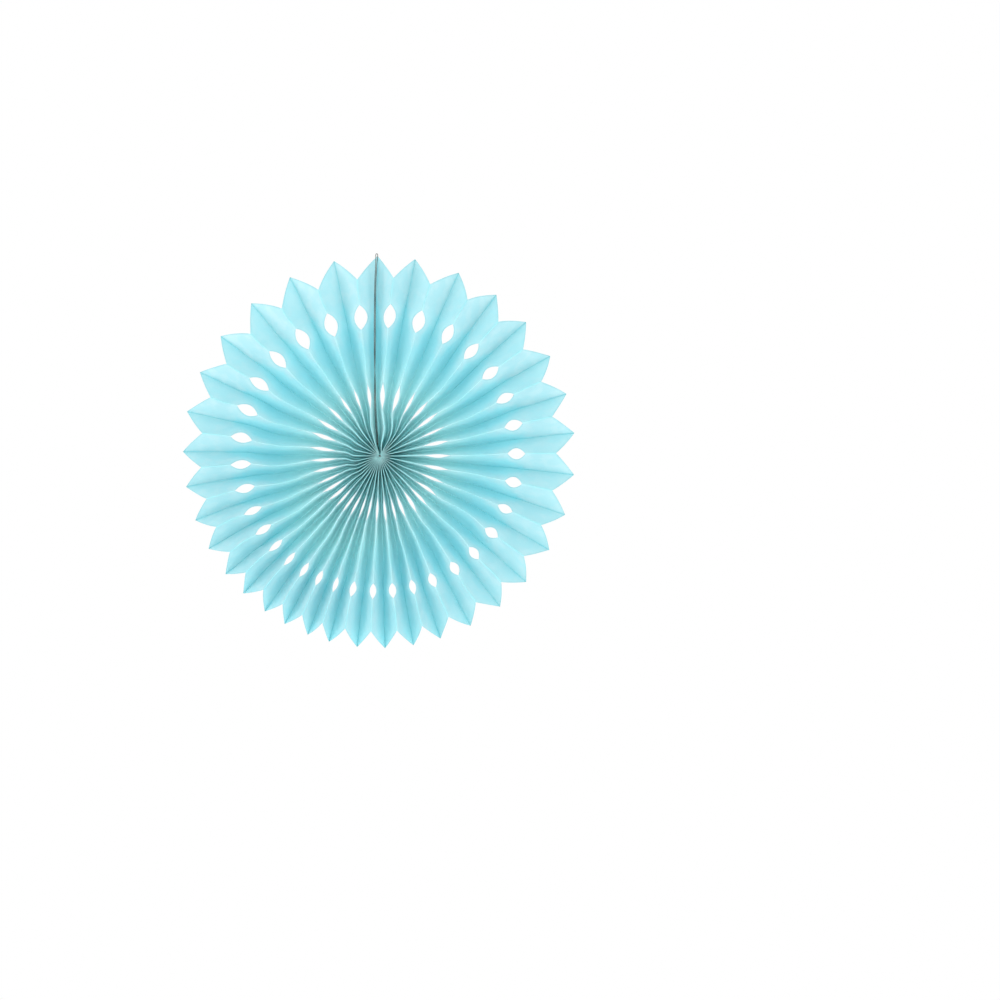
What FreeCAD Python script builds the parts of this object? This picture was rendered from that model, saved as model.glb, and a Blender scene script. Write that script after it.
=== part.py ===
import FreeCAD, Part
import math
import os

from FreeCAD import Placement, Rotation, Vector

os.makedirs("parts", exist_ok=True)
doc = FreeCAD.newDocument("paper_fan_rosette")

# Driving sizes in millimetres. Radii are taken from the middle of the rim circle.
drivingSizes = [
    ("tipRadius", 200.0, "to a petal's point"),
    ("petalHeight", 19.4, "notch between two petals to their points, outward"),
    ("petalBulge", 0.5, "how far a petal's edge bulges past a straight cut"),
    ("panelWidth", 35.0, "paper from one fold to the next"),
    ("paperThickness", 0.3, "one layer, measured along the rim"),
    ("hubRadius", 4.5, "inside this all layers are pinched face to face"),
    ("hubDrop", 4.1, "the hub hangs this far below the middle of the rim circle"),
    ("hubAside", 1.35, "and this far to the right of it"),
    ("hubReach", 160.0, "from this radius on the folds run straight to the rim"),
    ("slitStart", 43.0, "inner end of a slit"),
    ("slitLength", 30.0, "slit, along the fold"),
    ("slitDepth", 11.5, "how deep a slit is cut into the folded edge"),
    ("eyeMargin", 29.3, "outer end of an eye hole to the notch"),
    ("eyeLength", 23.0, "eye hole, along the fold"),
    ("eyeDepth", 15.0, "how deep an eye hole is cut into the folded edge"),
    ("leanWidth", 3.2, "how far the top folds lean over beside the thread"),
    ("leanRise", 6.0, "how quickly that lean grows outside the hub"),
    ("leanFade", 90.0, "radius from which that lean dies away to the rim"),
    ("partingWidth", 2.3, "how far the thread spreads the folds beside it"),
    ("partingHub", 1.0, "how far they stay spread at the hub"),
    ("partingReach", 50.0, "radius at which they close up again"),
    ("boreRadius", 0.9, "hole left in the middle of the hub"),
    ("strandDiameter", 0.9, "one strand of the thread"),
    ("ringRadius", 1.25, "ring of thread round the hole, to its middle line"),
    ("threadRoom", 0.06, "room round the thread inside the hub"),
    ("knotDiameter", 1.9, "knot at the foot of the hanging thread"),
    ("knotLength", 3.0, "knot, along the thread"),
]
sizes = doc.addObject("Spreadsheet::Sheet", "sizes")
for row, (alias, value, note) in enumerate(drivingSizes, start=1):
    sizes.set("A%d" % row, alias)
    sizes.set("B%d" % row, str(value))
    sizes.set("C%d" % row, note)
    sizes.setAlias("B%d" % row, alias)
doc.recompute()
size = {alias: float(sizes.get(alias)) for alias, value, note in drivingSizes}

# Direction of each petal's point seen from the hub, in degrees anticlockwise from +X.
# The paper sags, so the petals stand wide open at the top and close together at the bottom.
petalAngles = [
    90.8, 103.4, 116.8, 130.2, 143.1, 155.1, 167.0, 178.7, 189.0, 199.1, 208.3, 217.3,
    225.0, 233.3, 240.3, 247.8, 254.5, 263.0, 271.4, 279.9, 288.2, 298.0, 308.5, 319.2,
    331.0, 342.4, 354.5, 366.8, 378.5, 390.5, 402.6, 414.3, 426.9, 440.0,
]
petalCount = len(petalAngles)
leanAngle = 97.0  # the fold that leans most, in degrees
leanSpread = 17.0  # how far round the rim the lean reaches, in degrees
partingKept = 0.5  # share of the spread that reaches the next petal
partingPower = 1.2  # above 1 the folds beside the thread stand widest further out

# Where a panel has corners: shares of the way from the hub to the slit, along a cut, and up a petal.
hubShares = (0.0, 0.05, 0.14, 0.3, 0.6)
cutShares = (0.2, 0.5, 0.8)
petalShares = (0.25, 0.55, 0.8)
lensPower = 0.85  # under 1 a pointed cut is fuller than half a sine wave
layerLimit = 0.8  # most of the way to the next fold that half a layer may take, close to the hub
sewTolerance = 0.001  # corners of the sheet closer than this are one

notchRadius = size["tipRadius"] - size["petalHeight"]
slitEnd = size["slitStart"] + size["slitLength"]
eyeEnd = notchRadius - size["eyeMargin"]
eyeStart = eyeEnd - size["eyeLength"]
hubPlace = Vector(size["hubAside"], 0.0, -size["hubDrop"])

# The knot stands in the valley of the top petal, and the doubled thread leaves its flat top.
knotFoot = Vector(-1.00, -8.0, 6.9)
threadRoute = [
    (-1.53, -8.00, 9.90), (-1.53, -8.00, 13.50), (-2.48, -7.90, 20.50), (-3.48, -7.50, 33.50),
    (-4.13, -6.90, 50.00), (-4.08, -6.78, 66.00), (-3.80, -6.43, 82.00), (-3.52, -5.68, 98.00),
    (-3.42, -4.70, 114.00), (-3.37, -3.70, 140.00), (-3.07, -2.80, 166.00), (-2.42, -2.20, 184.00),
    (-1.70, -1.80, 194.00), (-1.07, -1.65, 198.30), (-1.05, -1.60, 200.98),
    (-2.05, -1.55, 201.55),
    (-3.05, -1.60, 200.98), (-3.03, -1.65, 198.30), (-3.00, -1.80, 194.00),
    (-3.48, -2.20, 184.00), (-4.13, -2.80, 166.00), (-4.43, -3.70, 140.00), (-4.48, -4.70, 114.00),
    (-4.28, -4.92, 98.00), (-3.80, -5.37, 82.00), (-3.32, -6.02, 66.00), (-3.07, -6.90, 50.00),
    (-2.42, -7.50, 33.50), (-1.42, -7.90, 20.50), (-0.47, -8.00, 13.50), (-0.47, -8.00, 9.90),
]


def smoothStep(share):
    held = min(max(share, 0.0), 1.0)
    return held * held * (3.0 - 2.0 * held)


def rimAngle(seenAngle):
    """Angle round the middle of the rim circle of the rim point that the hub sees at seenAngle."""
    ray = math.radians(seenAngle)
    along = hubPlace.x * math.cos(ray) + hubPlace.z * math.sin(ray)
    reach = math.sqrt(along ** 2 - hubPlace.Length ** 2 + size["tipRadius"] ** 2) - along
    rimPoint = (hubPlace.x + reach * math.cos(ray), hubPlace.z + reach * math.sin(ray))
    angle = math.degrees(math.atan2(rimPoint[1], rimPoint[0]))
    return angle + 360.0 * round((seenAngle - angle) / 360.0)


def foldPlace(angle, petalsAway, radius):
    """Where a fold stands in the XZ plane at a radius.

    Folds run straight to the rim from the middle of the rim circle. Nearer in they bend to the
    hub, which hangs lower, and beside the thread they lean over and stand apart.
    """
    outside = radius - size["hubRadius"]
    sink = 1.0 - smoothStep(outside / (size["hubReach"] - size["hubRadius"]))
    fade = 1.0 - smoothStep((radius - size["leanFade"]) / (size["tipRadius"] - size["leanFade"]))
    aside = size["leanWidth"] * math.exp(-((angle - leanAngle) / leanSpread) ** 2)
    aside *= (1.0 - math.exp(-outside / size["leanRise"])) * fade
    if petalsAway:
        share = min(outside / (size["partingReach"] - size["hubRadius"]), 1.0)
        spread = size["partingWidth"] * math.sin(math.pi * share ** partingPower) ** 2
        spread += size["partingHub"] * (1.0 - share) ** 2
        aside += math.copysign(spread * partingKept ** (abs(petalsAway) - 0.5), petalsAway)
    turn = math.radians(angle)
    across = radius * math.cos(turn) - aside * math.sin(turn)
    upward = radius * math.sin(turn) + aside * math.cos(turn)
    return Vector(across, 0.0, upward) + sink * hubPlace


def lens(share):
    """Half width of a pointed cut, 0 at its ends and 1 in its middle."""
    return math.sin(math.pi * share) ** lensPower


def cutRows(start, end, depth):
    """Rows of stations along a pointed cut of this depth across a folded edge."""
    deepest = depth / size["panelWidth"]
    rows = [(start + share * (end - start), deepest * lens(share)) for share in cutShares]
    return [(start, 0.0)] + rows + [(end, 0.0)]


def panelStations():
    """Radii along a panel, each with how far its near edge is cut back, as a share of the panel."""
    hub, slit = size["hubRadius"], size["slitStart"]
    rows = [(hub + share * (slit - hub), 0.0) for share in hubShares]
    rows += cutRows(slit, slitEnd, size["slitDepth"])
    rows.append((0.5 * (slitEnd + eyeStart), 0.0))
    rows += cutRows(eyeStart, eyeEnd, size["eyeDepth"])
    rows.append((notchRadius, 0.0))
    for share in petalShares:
        bulge = size["petalBulge"] * math.sin(math.pi * share)
        rows.append((notchRadius + share * size["petalHeight"] + bulge, share))
    rows.append((size["tipRadius"], 1.0))
    return rows


class FoldedSheet:
    """The pleated strip as one closed skin: front, back, fold crests and cut edges.

    Far folds carry the petals' points and are numbered as the petals are. Near fold n stands
    between petals n and n + 1, and carries a slit, an eye hole and a notch.
    """

    def __init__(self):
        self.stations = panelStations()
        self.last = len(self.stations) - 1
        self.points = []
        self.facets = []
        self.numbers = {}
        tips = [rimAngle(angle) for angle in petalAngles]
        notches = [0.5 * (tip + after) for tip, after in zip(tips, tips[1:] + [tips[0] + 360.0])]
        self.far = [self.foldLine(tips[n], n) for n in range(petalCount)]
        self.near = [self.foldLine(notches[n], n + 0.5) for n in range(petalCount)]
        for n in range(petalCount):
            self.setDepths(self.near[n], self.far[n], self.far[(n + 1) % petalCount], -1.0)
        for n in range(petalCount):
            self.setDepths(self.far[n], self.near[n - 1], self.near[n], 1.0)

    def foldLine(self, angle, place):
        """Points of one fold at every station; place counts petals on from the thread's petal."""
        if place > petalCount / 2.0:
            place -= petalCount
            angle -= 360.0
        return [foldPlace(angle, place, radius) for radius, cut in self.stations]

    def setDepths(self, fold, before, after, side):
        """Half the pleats' depth at a fold: panels keep their width while the folds part."""
        for k in range(len(fold)):
            spread = 0.0
            if k:
                spread = 0.5 * (self.gap(fold[k], before[k]) + self.gap(fold[k], after[k]))
            fold[k].y = side * 0.5 * math.sqrt(size["panelWidth"] ** 2 - spread ** 2)

    @staticmethod
    def gap(first, second):
        return math.hypot(second.x - first.x, second.z - first.z)

    def corner(self, key, point):
        """Number of a corner, which neighbouring facets share."""
        if key not in self.numbers:
            self.numbers[key] = len(self.points)
            self.points.append(point)
        return self.numbers[key]

    def facet(self, *corners):
        if len(set(corners)) == 3:
            self.facets.append(corners)

    def strip(self, first, second, third, fourth):
        self.facet(first, second, third)
        self.facet(first, third, fourth)

    def layerShare(self, fold, other, k):
        """Half a layer as a share of the way to the next fold; the whole way at the hub."""
        if k == 0:
            return 1.0
        return min(0.5 * size["paperThickness"] / self.gap(fold[k], other[k]), layerLimit)

    def across(self, fold, other, k, wide, deep):
        """Point part of the way from one fold to the next, across in XZ and deep in Y."""
        point = fold[k] + wide * (other[k] - fold[k])
        point.y = fold[k].y + deep * (other[k].y - fold[k].y)
        return point

    def inside(self, isNear, n, k):
        """Corner where the two layers of a fold part company."""
        if isNear:
            fold, others = self.near[n], (self.far[n], self.far[(n + 1) % petalCount])
        else:
            fold, others = self.far[n], (self.near[n - 1], self.near[n])
        steps = [self.layerShare(fold, other, k) * (other[k].y - fold[k].y) for other in others]
        return self.corner(("inside", isNear, n, k), fold[k] + Vector(0.0, 0.5 * sum(steps), 0.0))

    def crest(self, isNear, n, other, k):
        """Corner of a fold's flat crest, on the side of the fold named by other."""
        fold, side = (self.near[n], self.far[other]) if isNear else (self.far[n], self.near[other])
        if k == 0:
            return self.corner(("hub", isNear, other), self.across(fold, side, 0, 1.0, 0.0))
        wide = self.layerShare(fold, side, k)
        return self.corner(("crest", isNear, n, other, k), self.across(fold, side, k, wide, 0.0))

    def nearEdge(self, n, other, k):
        """Front and back corners of a panel's near edge, set back where it is cut."""
        cut = self.stations[k][1]
        if cut == 0.0:
            return self.crest(True, n, other, k), self.inside(True, n, k)
        if cut == 1.0:
            return self.inside(False, other, k), self.crest(False, other, n, k)
        near, far = self.near[n], self.far[other]
        half = self.layerShare(near, far, k)
        front = self.corner(("cut front", n, other, k), self.across(near, far, k, cut + half, cut))
        back = self.corner(("cut back", n, other, k), self.across(near, far, k, cut - half, cut))
        return front, back

    def addPanel(self, n, other):
        """Panel between near fold n and far fold other."""
        for k in range(self.last):
            front, back = self.nearEdge(n, other, k)
            nextFront, nextBack = self.nearEdge(n, other, k + 1)
            frontFar = self.inside(False, other, k) if k else front
            backFar = self.crest(False, other, n, k)
            if k == 0:
                back = backFar
            self.strip(front, nextFront, self.inside(False, other, k + 1), frontFar)
            self.strip(back, nextBack, self.crest(False, other, n, k + 1), backFar)
            if self.stations[k][1] or self.stations[k + 1][1]:
                self.strip(front, nextFront, nextBack, back)

    def addCrest(self, isNear, n):
        """Crest of a fold, open where a cut crosses it, and the ends of those cuts."""
        sides = (n, (n + 1) % petalCount) if isNear else ((n - 1) % petalCount, n)
        isCut = [isNear and cut > 0.0 for radius, cut in self.stations]
        for k in range(self.last):
            if not (isCut[k] or isCut[k + 1]):
                self.strip(self.crest(isNear, n, sides[0], k), self.crest(isNear, n, sides[0], k + 1),
                           self.crest(isNear, n, sides[1], k + 1), self.crest(isNear, n, sides[1], k))
        for k in range(1, self.last + 1):
            endsCut = not isCut[k] and (isCut[k - 1] or isCut[min(k + 1, self.last)])
            if endsCut or (k == self.last and not isNear):
                self.facet(self.crest(isNear, n, sides[0], k), self.crest(isNear, n, sides[1], k),
                           self.inside(isNear, n, k))

    def addHubFace(self, isNear):
        """Flat face of the pinched hub, front or back."""
        middle = hubPlace + Vector(0.0, (-0.5 if isNear else 0.5) * size["panelWidth"], 0.0)
        centre = self.corner(("middle", isNear), middle)
        for n in range(petalCount):
            self.facet(centre, self.numbers["hub", isNear, n],
                       self.numbers["hub", isNear, (n + 1) % petalCount])

    def solid(self):
        for n in range(petalCount):
            self.addPanel(n, n)
            self.addPanel(n, (n + 1) % petalCount)
            self.addCrest(True, n)
            self.addCrest(False, n)
        self.addHubFace(True)
        self.addHubFace(False)
        skin = Part.Shape()
        skin.makeShapeFromMesh((self.points, self.facets), sewTolerance)
        body = Part.Solid(skin)
        if body.Volume < 0.0:
            body.reverse()
        print("folded sheet: facets", len(self.facets), "closed", skin.isClosed(), "mm3", round(body.Volume))
        return body


def addPrimitive(kind, name, bindings, placement):
    """Part primitive whose sizes are bound to cells of the sheet."""
    primitive = doc.addObject(kind, name)
    for prop, formula in bindings.items():
        primitive.setExpression(prop, formula)
    primitive.Placement = placement
    return primitive


def addCompound(kind, name, **links):
    """Boolean of earlier objects."""
    result = doc.addObject(kind, name)
    for prop, linked in links.items():
        setattr(result, prop, linked)
    return result


def tangentArcRoute(route, runShare=0.45):
    """Wire of straight runs joined by tangent arcs, and the arcs' radii.

    Each arc takes runShare of the shorter of its two runs.
    """
    points = [Vector(*point) for point in route]
    edges = []
    radii = []
    start = points[0]
    for before, here, after in zip(points, points[1:], points[2:]):
        inward, outward = (here - before), (after - here)
        turn = inward.getAngle(outward)
        shorter = min(inward.Length, outward.Length)
        setback = runShare * shorter
        radius = setback / math.tan(0.5 * turn)
        inward.normalize()
        outward.normalize()
        arcStart = here - setback * inward
        arcEnd = here + setback * outward
        bisector = outward - inward
        bisector.normalize()
        middle = here + (radius / math.cos(0.5 * turn) - radius) * bisector
        edges.append(Part.LineSegment(start, arcStart).toShape())
        edges.append(Part.Arc(arcStart, middle, arcEnd).toShape())
        radii.append(radius)
        start = arcEnd
    edges.append(Part.LineSegment(start, points[-1]).toShape())
    return Part.Wire(edges), radii


# Pleated paper: the folded sheet with the hub's small hole and the way of the thread in it.
foldedSheet = doc.addObject("Part::Feature", "folded_sheet")
foldedSheet.Shape = FoldedSheet().solid()

alongY = Rotation(Vector(0, 0, 1), Vector(0, 1, 0))
hubMiddle = Placement(hubPlace, alongY)
hubFront = Placement(hubPlace - Vector(0.0, size["panelWidth"], 0.0), alongY)
legStart = hubPlace + Vector(0.0, 0.0, size["ringRadius"])
legVector = knotFoot - legStart
legPlacement = Placement(legStart, Rotation(Vector(0, 0, 1), legVector))

bore = addPrimitive("Part::Cylinder", "hub_bore",
                    {"Radius": "sizes.boreRadius", "Height": "2 * sizes.panelWidth"}, hubFront)
ringRoom = addPrimitive("Part::Cylinder", "ring_room",
                        {"Radius": "sizes.ringRadius + sizes.strandDiameter / 2 + sizes.threadRoom",
                         "Height": "sizes.strandDiameter + 2 * sizes.threadRoom"}, hubMiddle)
ringRoom.setExpression("Placement.Base.y", "-(sizes.strandDiameter / 2 + sizes.threadRoom)")
legRoom = addPrimitive("Part::Cylinder", "leg_room",
                       {"Radius": "sizes.strandDiameter / 2 + sizes.threadRoom"}, legPlacement)
legRoom.Height = legVector.Length
threadRoom = addCompound("Part::MultiFuse", "thread_room", Shapes=[bore, ringRoom, legRoom])
paper = addCompound("Part::Cut", "pleated_paper", Base=foldedSheet, Tool=threadRoom)
paper.Refine = False

# Centre tie: ring of thread round the hole, its leg through the top valley, and the knot.
ring = addPrimitive("Part::Torus", "tie_ring",
                    {"Radius1": "sizes.ringRadius", "Radius2": "sizes.strandDiameter / 2"}, hubMiddle)
leg = addPrimitive("Part::Cylinder", "tie_leg", {"Radius": "sizes.strandDiameter / 2"}, legPlacement)
leg.Height = legVector.Length
knot = addPrimitive("Part::Cylinder", "tie_knot",
                    {"Radius": "sizes.knotDiameter / 2", "Height": "sizes.knotLength"},
                    Placement(knotFoot, Rotation()))
tie = addCompound("Part::MultiFuse", "centre_tie", Shapes=[ring, leg, knot])

# Hanging thread: one strand up to the loop at the top and down again.
routeWire, routeRadii = tangentArcRoute(threadRoute)
print("thread arc radii", [round(radius, 1) for radius in routeRadii])
route = doc.addObject("Part::Feature", "thread_route")
route.Shape = routeWire
section = doc.addObject("Part::Circle", "thread_section")
section.setExpression("Radius", "sizes.strandDiameter / 2")
section.Placement = Placement(Vector(*threadRoute[0]), Rotation())
thread = doc.addObject("Part::Sweep", "hanging_thread")
thread.Sections = [section]
thread.Spine = (route, ["Edge%d" % (n + 1) for n in range(len(routeWire.Edges))])
thread.Solid = True
thread.Frenet = False

doc.recompute()
wanted = math.pi * (0.5 * size["strandDiameter"]) ** 2 * routeWire.Length
print("thread length", round(routeWire.Length, 1), "volume", round(thread.Shape.Volume, 1),
      "wanted", round(wanted, 1))

nodes = {"pleated_paper": paper, "centre_tie": tie, "hanging_thread": thread}
for label, node in nodes.items():
    node.Label = label
for thing in doc.Objects:
    if "Invalid" in thing.State or "Error" in thing.State:
        raise RuntimeError("%s did not recompute: %s" % (thing.Name, thing.State))
for label, node in nodes.items():
    if node.Shape.isNull() or not node.Shape.isValid():
        raise RuntimeError("%s has no valid shape" % label)
    print(label, "solids", len(node.Shape.Solids), "faces", len(node.Shape.Faces),
          "mm3", round(node.Shape.Volume, 1), node.Shape.BoundBox)
for label, node in nodes.items():
    node.Shape.exportStep("parts/%s.step" % node.Label)
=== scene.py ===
import math

import bpy
import numpy as np
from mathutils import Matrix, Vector


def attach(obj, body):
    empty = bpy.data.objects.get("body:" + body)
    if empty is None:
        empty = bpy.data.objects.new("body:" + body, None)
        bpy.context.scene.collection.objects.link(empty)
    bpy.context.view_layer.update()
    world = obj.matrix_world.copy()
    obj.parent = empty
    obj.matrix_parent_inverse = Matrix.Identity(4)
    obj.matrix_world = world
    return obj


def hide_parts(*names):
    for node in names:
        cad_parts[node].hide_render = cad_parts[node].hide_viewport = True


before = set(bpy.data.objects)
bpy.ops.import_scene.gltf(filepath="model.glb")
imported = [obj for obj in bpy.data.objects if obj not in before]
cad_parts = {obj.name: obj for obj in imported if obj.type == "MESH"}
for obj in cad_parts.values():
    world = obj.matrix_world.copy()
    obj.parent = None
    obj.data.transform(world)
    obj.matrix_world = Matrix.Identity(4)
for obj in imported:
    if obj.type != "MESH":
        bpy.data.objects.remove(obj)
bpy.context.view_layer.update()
print("frame loaded")

# All lengths are in metres. Angles are in degrees, anticlockwise from the right. The rosette stands
# in the XZ plane, its front faces -Y, and the origin is the middle of the circle that the petals'
# points lie on.
paper = {
    "tipRadius": 0.200,
    "petalHeight": 0.0194,  # from the notches out to the points
    "petalBulge": 0.0005,  # how far a petal's edges bow outwards
    "panelWidth": 0.035,  # from one fold to the next
    "halfLayer": 0.00008,  # half the paper's thickness
    "layerFill": 0.15,  # the most of the gap between folds that half a layer may take
    "hubRadius": 0.0045,
    "hubHole": 0.0011,
    "hubDrop": 0.0041,
    "hubAside": 0.00135,
    "hubReach": 0.160,  # outside it the folds run straight to the rim
    "slitStart": 0.043,
    "slitEnd": 0.073,
    "slitDepth": 0.0108,
    "slitPower": 1.25,  # above 1 a cut is more slender towards its ends
    "eyeStart": 0.1283,
    "eyeEnd": 0.1513,
    "eyeDepth": 0.0150,
    "eyePower": 0.80,
    "stillRadius": 0.030,  # inside it the cuts' shifts move no row
    "creaseWidth": 0.00016,  # how far a folded edge bulges to each side
    "creaseFill": 0.22,  # the most of the gap between folds that the bulge may take
    "hubFill": 0.48,  # the same at the hub, where the folds touch
    "hubFade": 0.0035,  # how far outside the hub that ends
    "creaseShare": 0.010,  # where the bulge is widest, as a share of the panel
    "creaseBend": 0.011,  # roundness of a fold, as a share of the panel
    "belly": 0.0007,  # how far a panel bows
    "bellyFill": 0.2,  # the most of the gap between folds that the bow may take
    "bellyWaves": 3.0,  # waves of the bow from the middle to the rim
    "bellyWaver": 0.4,  # their part of the bow
    "tipCurl": 0.0022,  # how far a petal's point may curl to the front or the back
    "slackPower": 1.3,  # of half a sine wave from one end of a slack to the other
    "farSlack": 0.6,  # the far folds' part of the slack
    "columns": (0.0, 0.010, 0.028, 0.15, 0.5, 0.85, 0.972, 0.990, 1.0),  # shares of a panel
    "sharpAngle": 55.0,  # faces that meet more sharply are not shaded as one
    "crowdedRadius": 0.012,  # inside it the rows crowd towards the hub
    "seed": 11,
}
# rows of the grid, from the hub out to the points
rows = {"hub": 8, "inside": 12, "slit": 14, "between": 15, "eye": 14, "outside": 7, "petal": 12}
hubPlace = np.array([paper["hubAside"], -paper["hubDrop"]])
notchRadius = paper["tipRadius"] - paper["petalHeight"]
lean = {"width": 0.0032, "rise": 0.006, "fade": 0.090, "angle": 97.0, "spread": 17.0}
parting = {"width": 0.0023, "hub": 0.0010, "reach": 0.050, "kept": 0.5, "power": 1.2}
# The pinched folds are twisted round the hub: on the left they kink, right of the thread they bunch.
twists = [
    {"turn": 7.0, "angle": 184.0, "spread": 34.0, "inner": 0.024, "outer": 0.035},
    {"turn": -12.0, "angle": 72.0, "spread": 15.0, "inner": 0.014, "outer": 0.046},
]
# Between two radii the folds hang aside, anticlockwise if positive, round some angle.
slacks = [
    {"aside": 0.0034, "angle": 185.0, "spread": 42.0, "inner": 0.068, "outer": 0.134},
    {"aside": 0.0010, "angle": 140.0, "spread": 40.0, "inner": 0.148, "outer": 0.180},
    {"aside": -0.0009, "angle": 215.0, "spread": 30.0, "inner": 0.148, "outer": 0.180},
    {"aside": 0.0022, "angle": 322.0, "spread": 34.0, "inner": 0.078, "outer": 0.140},
    {"aside": -0.0030, "angle": 22.0, "spread": 34.0, "inner": 0.066, "outer": 0.140},
    {"aside": 0.0020, "angle": 150.0, "spread": 26.0, "inner": 0.090, "outer": 0.142},
]
# The folds waver by a few sine waves, less at the rim and not at all at the hub.
waver = {
    "size": 0.0014,  # of a single wave from the middle to the rim
    "waves": (2.5, 4.3, 7.1),
    "least": 0.2,  # the smallest draw of a wave's size
    "farShare": 0.5,  # of the far folds
    "hub": (0.008, 0.038),  # radii between which it starts
    "rim": (0.150, 0.190),  # radii between which it lessens
    "rimLoss": 0.7,
}
# What changes round the rosette, because its pleats stand wider open at the top, no two petals lie
# quite alike and light and shade are painted differently round it: a steady part, a sine and a
# cosine of the angle, and humps, each with its size, its angle and its spread. Lengths and shifts
# are in metres; openings, painted light and painted shadow are factors.
changes = {
    "eyeLength": (0.0197, 0.0036, -0.0016, [(0.0012, 95.0, 25.0)]),
    "eyeShift": (0.0, -0.0014, 0.0, [(-0.0010, 108.0, 20.0)]),
    "eyeOpening": (0.84, 0.0, 0.0, [(0.20, 95.0, 28.0), (-0.18, 226.0, 20.0)]),
    "slitLength": (0.0290, 0.0, 0.0, [(-0.0070, 125.0, 30.0)]),
    "slitShift": (0.0, 0.0030, -0.0010, [
        (-0.0026, 190.0, 32.0), (0.0022, 325.0, 45.0), (-0.0018, 85.0, 50.0),
    ]),
    "slitOpening": (1.0, 0.0, 0.0, [(-0.25, 125.0, 35.0), (-0.25, 22.0, 24.0), (0.16, 81.0, 12.0)]),
    "notchShift": (-0.0007, -0.0026, 0.0, [
        (0.0014, 45.0, 28.0), (-0.0026, 118.0, 28.0), (-0.0007, 290.0, 30.0),
    ]),
    # painted light and shade: one half of each petal's rim paler and the other darker, as side light makes
    # them
    "paintedSideLight": (0.0, 0.0, 0.0, [
        (0.40, 138.0, 42.0), (-0.40, 224.0, 24.0), (0.40, 278.0, 18.0), (-0.40, 32.0, 38.0),
    ]),
    # painted light: how much further out the paler deep middle reaches
    "deepOutward": (0.0, 0.0, 0.0, [(0.040, 238.0, 36.0)]),
    # painted shadow: the middles of the petals at the bottom kept dark, where the folds shade them
    "paintedShadowMiddle": (0.0, 0.0, 0.0, [(0.85, 270.0, 36.0)]),
}
petalAngles = np.array([
    90.8, 103.4, 116.8, 130.2, 143.1, 155.1, 167.0, 178.7, 189.0, 199.1, 208.3, 217.3,
    225.0, 233.3, 240.3, 247.8, 254.5, 263.0, 271.4, 279.9, 288.2, 298.0, 308.5, 319.2,
    331.0, 342.4, 354.5, 366.8, 378.5, 390.5, 402.6, 414.3, 426.9, 440.0,
])
petalCount = len(petalAngles)


def grows(value, start, end):
    # 0 up to the start and 1 past the end, with a smooth step from one to the other
    share = np.clip((value - start) / (end - start), 0.0, 1.0)
    return share * share * (3.0 - 2.0 * share)


def fades(value, start, end):
    # the same step downwards
    return 1.0 - grows(value, start, end)


def closeTo(angle, middle, spread):
    # 1 at the middle angle, dying away on both sides of it as a bell curve
    away = (angle - middle + 180.0) % 360.0 - 180.0
    return np.exp(-(away / spread) ** 2)


def changing(measure, angle):
    # the measure at some angles: steady part, plus sine, plus cosine, plus humps
    steady, sine, cosine, humps = changes[measure]
    total = steady + sine * np.sin(np.radians(angle)) + cosine * np.cos(np.radians(angle))
    for size, middle, spread in humps:
        total = total + size * closeTo(angle, middle, spread)
    return total


def closerAtEnds(start, end, steps):
    # from start up to but not including end, the steps growing as a cosine does
    return start + (end - start) * 0.5 * (1.0 - np.cos(np.pi * np.arange(steps) / steps))


def paperStations():
    # Radii of the grid's rows, and how far each row's near edge is cut back by a slit, by an eye
    # and by the petals' points, from 0 to 1. A slit or an eye is a power of half a sine wave.
    hub, crowded = paper["hubHole"], paper["crowdedRadius"]
    inner = np.concatenate([
        np.geomspace(hub, crowded, rows["hub"] + 1)[:-1],
        np.linspace(crowded, paper["slitStart"], rows["inside"], endpoint=False),
        closerAtEnds(paper["slitStart"], paper["slitEnd"], rows["slit"]),
        np.linspace(paper["slitEnd"], paper["eyeStart"], rows["between"], endpoint=False),
        closerAtEnds(paper["eyeStart"], paper["eyeEnd"], rows["eye"]),
        np.linspace(paper["eyeEnd"], notchRadius, rows["outside"], endpoint=False),
    ])
    petal = np.linspace(0.0, 1.0, rows["petal"])
    outer = notchRadius + petal * paper["petalHeight"] + paper["petalBulge"] * np.sin(np.pi * petal)
    radius = np.concatenate([inner, outer])
    cuts = []
    for kind in ("slit", "eye"):
        start, end = paper[kind + "Start"], paper[kind + "End"]
        share = np.clip((radius - start) / (end - start), 0.0, 1.0)
        cut = np.sin(np.pi * share) ** paper[kind + "Power"]
        cut[cut < 1e-6] = 0.0
        cuts.append(cut)
    return radius, cuts[0], cuts[1], np.concatenate([0.0 * inner, petal])


def rimAngles(seen):
    # angle round the rim's middle of the rim point that the hub sees at this angle
    ray = np.radians(seen)
    along = hubPlace[0] * np.cos(ray) + hubPlace[1] * np.sin(ray)
    reach = np.sqrt(along ** 2 - hubPlace @ hubPlace + paper["tipRadius"] ** 2) - along
    angle = np.degrees(np.arctan2(hubPlace[1] + reach * np.sin(ray), hubPlace[0] + reach * np.cos(ray)))
    return angle + 360.0 * np.round((seen - angle) / 360.0)


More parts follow.
